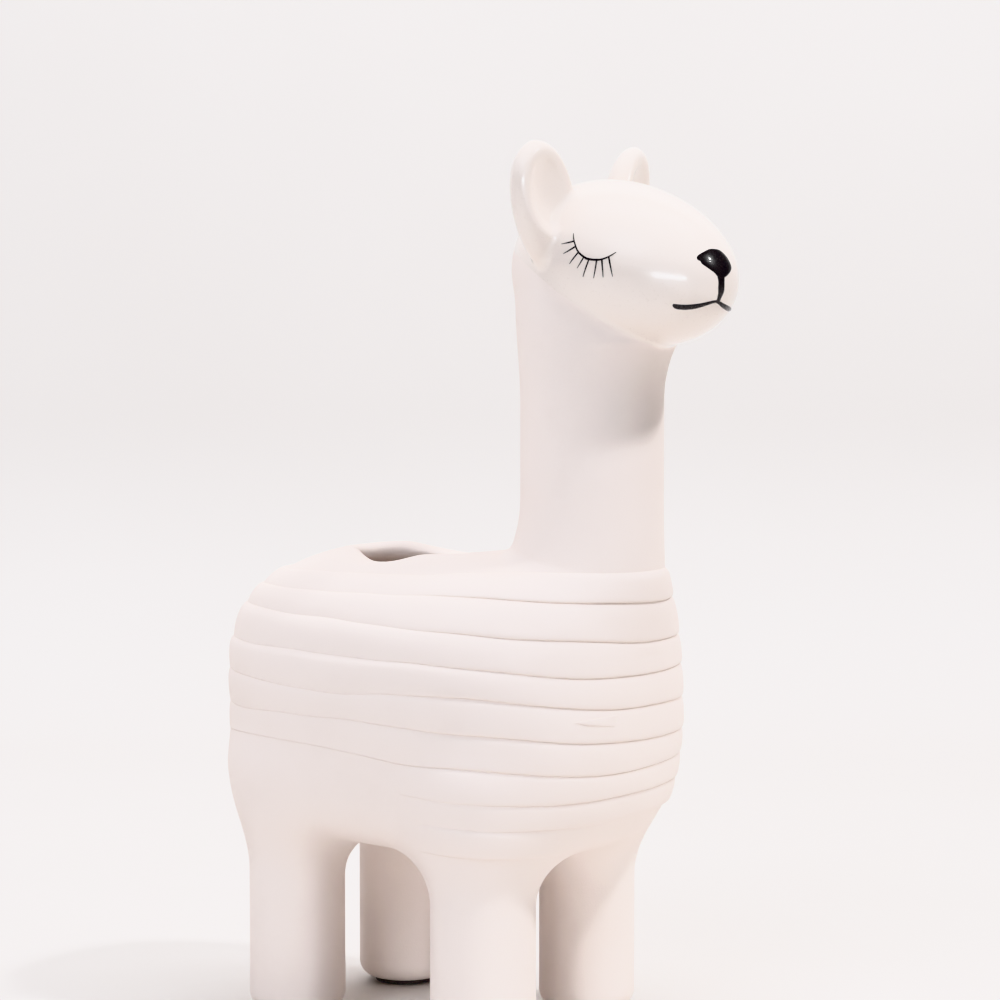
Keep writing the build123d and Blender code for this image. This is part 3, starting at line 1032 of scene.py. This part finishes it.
lid_line = [
    (-95.2, 20.2, 0.16), (-93.9, 16.0, 0.3), (-91.7, 11.5, 0.36), (-88.8, 7.0, 0.42), (-83.9, 3.4, 0.5),
    (-79.8, 1.9, 0.55), (-73.9, 1.4, 0.5), (-70.2, 1.8, 0.42), (-65.5, 3.4, 0.36), (-60.4, 6.2, 0.16),
]
lash_lines = [
    [(-93.3, 14.6, 0.4), (-98.5, 13.5, 0.34), (-104.0, 12.5, 0.14)],
    [(-91.5, 10.9, 0.4), (-96.5, 8.2, 0.34), (-101.6, 5.8, 0.14)],
    [(-88.8, 6.8, 0.4), (-92.3, 2.9, 0.34), (-95.9, -1.1, 0.14)],
    [(-84.0, 3.4, 0.36), (-86.6, -0.3, 0.3), (-89.5, -4.1, 0.12)],
    [(-79.8, 2.0, 0.4), (-82.4, -4.0, 0.34), (-85.0, -10.0, 0.14)],
    [(-73.9, 1.5, 0.42), (-75.0, -4.7, 0.36), (-76.5, -10.9, 0.14)],
    [(-70.2, 1.9, 0.42), (-69.7, -4.0, 0.36), (-69.3, -10.1, 0.14)],
    [(-65.4, 3.4, 0.42), (-64.1, -3.0, 0.36), (-62.7, -9.4, 0.14)],
]
enamel_height = 0.12
enamel_root = -1.2
stroke_section = [
    (-1, enamel_root), (-0.97, 0.3), (-0.7, 0.85), (0, 1.0), (0.7, 0.85), (0.97, 0.3), (1, enamel_root),
]
fill_section = [(1.0, enamel_root), (0.985, 0.3), (0.93, 0.85), (0.75, 1.0), (0.5, 1.0), (0.25, 1.0)]
finest_stroke = 0.1
nose_steps = 120
lip_steps = 40
mouth_near_steps = 60
mouth_far_steps = 50
lash_steps = 48


def smooth_line(rows, count, closed=False):
    """Rows of values as a smooth line through them."""
    rows = np.array(rows, float)
    if closed:
        ends = np.concatenate([rows[-1:], rows, rows[:2]])
        places = np.arange(count) * len(rows) / count
    else:
        ends = np.concatenate([2 * rows[:1] - rows[1:2], rows, 2 * rows[-1:] - rows[-2:-1]])
        places = np.linspace(0, len(rows) - 1, count)
    first = np.minimum(places.astype(int), len(ends) - 4)
    weights = cubic_weights((places - first)[:, None])
    return sum(weight * ends[first + index] for index, weight in enumerate(weights))


def on_head(turns, lifts):
    """Places on the head in the given directions from its middle."""
    way = heading(np.radians(turns), np.radians(lifts))
    reach = 1 / egg_shares(*way.T)[0]
    return np.array([head_middle + shift, 0, head_height]) + way * reach[:, None]


def raised(points, height):
    """Points lifted off the head by a share of the enamel's height."""
    return points + unit(steepest(head_distance, points)) * height * enamel_height


def paint_stroke(line, count):
    """Closed form of one brush stroke."""
    values = smooth_line(line, count)
    middle = on_head(values[:, 0], values[:, 1])
    side = unit(np.cross(steepest(head_distance, middle), np.gradient(middle, axis=0)))
    half_width = np.maximum(values[:, 2:], finest_stroke) / 2
    rows = []
    for across, height in stroke_section:
        spots = settle(head_distance, middle + side * half_width * across, 1.0)
        rows.append(raised(spots, height))
    starts = [row * count for row in range(len(rows))]
    faces = joined(starts, starts[1:] + starts[:1], count, False)
    faces.append(tuple(reversed(starts)))
    faces.append(tuple(start + count - 1 for start in starts))
    return np.concatenate(rows), faces


def paint_fill(outline, count):
    """Closed form of a painted patch."""
    edge = smooth_line(outline, count, closed=True)
    middle = edge.mean(0)
    rows = []
    for share, height in fill_section:
        spots = middle + (edge - middle) * share
        rows.append(raised(on_head(spots[:, 0], spots[:, 1]), height))
    points = np.concatenate(rows)
    center = raised(on_head(middle[:1], middle[1:]), 1.0)
    below = raised(on_head(middle[:1], middle[1:]), enamel_root)
    starts = [row * count for row in range(len(rows))]
    faces = joined(starts[:-1], starts[1:], count, True)
    for step in range(count):
        after = (step + 1) % count
        faces.append((starts[-1] + step, len(points), starts[-1] + after))
        faces.append((after, len(points) + 1, step))
    return np.concatenate([points, center, below]), faces


def add_enamel(name, parts):
    """One piece of enamel from its strokes and patches."""
    points, faces = gathered(parts)
    add_piece(name, points, faces, "black_enamel")


add_enamel("nose_enamel", [paint_fill(nose_outline, nose_steps), paint_stroke(lip_line, lip_steps)])
mouth = [paint_stroke(mouth_near, mouth_near_steps), paint_stroke(mouth_far, mouth_far_steps)]
add_enamel("mouth_enamel", mouth)
lashes = [paint_stroke(line, lash_steps) for line in [lid_line] + lash_lines]
add_enamel("lashes_right", lashes)
mirror = np.array([1, -1, 1])
add_enamel("lashes_left", [(points * mirror, [face[::-1] for face in faces]) for points, faces in lashes])

# Felt pads under the soles and the stopper in the drain hole, turned round upright axes

turned_stations = 96
pad_profile = [
    (0.0, 0.0), (2.0, 0.02), (4.0, 0.0), (6.0, 0.03), (6.9, 0.0), (7.3, 0.12), (7.5, 0.4),
    (7.42, 0.62), (7.5, 0.85), (7.35, 1.1), (7.0, 1.2), (4.0, 1.2), (0.0, 1.2),
]
pad_fuzz = 0.09
fuzz_waves = [(7, 1, 0, 1.0), (17, 0, 1, 1.0), (31, 1, 1, 0.7)]
fuzz_divisor = 20
stopper_profile = [
    (0.0, 43.45), (1.6, 43.5), (3.0, 43.35), (3.6, 43.12), (4.0, 43.0), (7.2, 43.0), (7.65, 43.12),
    (7.9, 43.4), (8.0, 43.7), (8.0, 44.3), (7.85, 44.6), (7.5, 44.78), (7.0, 44.8), (5.3, 44.8),
    (4.92, 44.8), (4.92, 45.6), (4.8, 45.8), (4.78, 46.2), (4.92, 46.4), (4.92, 47.1), (4.8, 47.3),
    (4.78, 47.7), (4.92, 47.9), (4.92, 49.1), (4.8, 49.55), (4.5, 49.85), (4.1, 49.9), (2.0, 49.86),
    (0.0, 49.86),
]


def turned(profile, x, y, fuzz=0.0):
    """Closed form turned from a profile of radii and heights, low middle first."""
    turns = np.arange(turned_stations) * 2 * pi / turned_stations
    ripple = 0
    for count, x_share, y_share, height in fuzz_waves:
        ripple = ripple + height * (np.sin(count * turns + x * x_share + y * y_share) - 1)
    reach = 1 + fuzz * ripple / fuzz_divisor
    flat = heading(turns, np.zeros(turned_stations)) * reach[:, None]
    rows = [np.array([x, y, height]) + flat * radius for radius, height in profile[1:-1]]
    points = np.concatenate(rows + [[(x, y, profile[0][1])], [(x, y, profile[-1][1])]])
    bottom = len(points) - 2
    last = (len(rows) - 1) * turned_stations
    faces = []
    for step in range(turned_stations):
        after = (step + 1) % turned_stations
        for low in range(0, last, turned_stations):
            high = low + turned_stations
            faces.append((low + step, low + after, high + after, high + step))
        faces.append((after, step, bottom))
        faces.append((last + step, last + after, bottom + 1))
    return points, faces


for name, (x, y, radius) in leg_places.items():
    points, faces = turned(pad_profile, x + shift, y, pad_fuzz)
    add_piece(name.replace("leg", "foot_pad"), points, faces, "dark_felt")
points, faces = turned(stopper_profile, shift, 0.0)
add_piece("drain_plug", points, faces, "black_rubber", body="stopper")

# Camera at the photograph's angle

focal_pixels = 3000.0
frame_pixels = 1000.0
sensor_width = 36.0
camera_place = np.array([428.16 + shift, -564.72, 170.54])
view_turn = radians(36.085)
view_dip = radians(3.882)
nearest_seen = 0.01
farthest_seen = 20.0


def set_up(name, data, place, way):
    """The camera or a lamp in its place, turned to look one way."""
    thing = bpy.data.objects.new(name, data)
    thing.location = place
    thing.rotation_euler = way.to_track_quat("-Z", "Y").to_euler()
    bpy.context.scene.collection.objects.link(thing)
    return thing


ahead = np.array([-sin(view_turn), cos(view_turn), 0.0])
right = np.array([cos(view_turn), sin(view_turn), 0.0])
aim = ahead * cos(view_dip) - np.array([0, 0, sin(view_dip)])
camera = bpy.data.cameras.new("camera")
camera.sensor_width = sensor_width
camera.lens = focal_pixels / frame_pixels * sensor_width
camera.clip_start = nearest_seen
camera.clip_end = farthest_seen
bpy.context.scene.camera = set_up("camera", camera, Vector(camera_place * millimetre), Vector(aim))

# Floor, wall and light, in metres

sweep_near = -1.6
sweep_start = 0.42
sweep_radius = 0.12
sweep_steps = 12
sweep_height = 2.4
sweep_half_width = 2.2


def sweep_outline():
    """Places on the sweep's middle line, as steps forward and heights."""
    outline = [(sweep_near, 0.0), (0.0, 0.0), (sweep_start, 0.0)]
    for step in range(1, sweep_steps + 1):
        angle = pi / 2 * step / sweep_steps
        outline.append((sweep_start + sweep_radius * sin(angle), sweep_radius * (1 - cos(angle))))
    outline.append((sweep_start + sweep_radius, sweep_height))
    return outline


def add_stage_sheet(name, outline, material):
    """A sweep of paper from the table up the wall."""
    points = []
    for forward, height in outline:
        for side in (-1, 1):
            spot = ahead * forward + right * sweep_half_width * side
            points.append((spot[0], spot[1], height))
    faces = [(low, low + 1, low + 3, low + 2) for low in range(0, len(points) - 2, 2)]
    sheet = add_mesh(name, name, np.array(points), faces, material)


def make_table():
    """Pale table with very soft marbling."""
    material, tree, shader = new_material("pale_table")
    grain = add_grain(tree, Grain_Size=14.0, Wave_Size=3.0)
    colour = tone(tree, grain.outputs["Wave"], 0.35, 0.65, (0.60, 0.565, 0.535), (0.635, 0.60, 0.57))
    colour_and_roughen(tree, shader, colour, grain.outputs["Grain"], 0.55, 0.7)
    return material


add_stage_sheet("table", sweep_outline(), make_table())

body_middle = Vector((0.0, 0.0, 0.1))
head_place = Vector((0.045, 0.0, 0.178))
leg_middle = Vector((0.027, 0.016, 0.008))
wall_middle = Vector((*(ahead * 0.6)[:2], 0.5))
full_spread = 180
white_light = (1.0, 1.0, 1.0)

# Each lamp: what it is turned to, the turn and lift in degrees at which it is seen from there, how far
# off it stands, its width and height, its power and its colour. The first five light the forms, and the
# last three only show as gleams in the glaze
form_lamps = [
    ("key", body_middle, (9, 56), 1.3, (0.09, 0.09), 13.4, (0.965, 1.0, 1.06), full_spread),
    ("window", body_middle, (-86, 36), 1.5, (0.7, 0.7), 11.8, (0.925, 0.995, 1.11), full_spread),
    ("side_glow", body_middle, (84, 10), 1.3, (0.4, 0.4), 5.5, (0.95, 1.0, 1.08), full_spread),
    ("leg_card", leg_middle, (-12, 5), 0.5, (0.08, 0.08), 0.015, (0.96, 1.0, 1.04), 22),
    ("wall_wash", wall_middle, (-54, 50), 0.9, (1.4, 0.3), 19.0, (0.98, 1.0, 1.05), full_spread),
]
gleam_lamps = [
    ("nose_spark", head_place, (13, 31), 1.0, (0.02, 0.02), 1.6, white_light, full_spread),
    ("cheek_strip", head_place, (-54, -1), 1.3, (0.8, 0.16), 5.5, (0.95, 1.0, 1.06), full_spread),
    ("nape_strip", head_place, (-141, 27), 1.2, (0.1, 0.25), 0.5, white_light, full_spread),
]


def add_lamp(name, target, direction, distance, size, power, colour, spread):
    """Soft sheet of light turned to a point."""
    lamp = bpy.data.lights.new(name, "AREA")
    lamp.shape = "RECTANGLE"
    lamp.size, lamp.size_y = size
    lamp.energy = power
    lamp.color = colour
    lamp.spread = radians(spread)
    way = Vector(heading(*np.radians(direction)))
    return set_up(name, lamp, target + way * distance, -way)


for settings in form_lamps:
    add_lamp(*settings).visible_glossy = False
for settings in gleam_lamps:
    add_lamp(*settings).visible_diffuse = False

room_colour = (0.93, 0.99, 1.11, 1)
room_strength = 0.07
world = bpy.data.worlds.new("studio")
world.use_nodes = True
adjust(world.node_tree.nodes["Background"], Color=room_colour, Strength=room_strength)
bpy.context.scene.world = world
bpy.context.scene.view_settings.view_transform = "Khronos PBR Neutral"
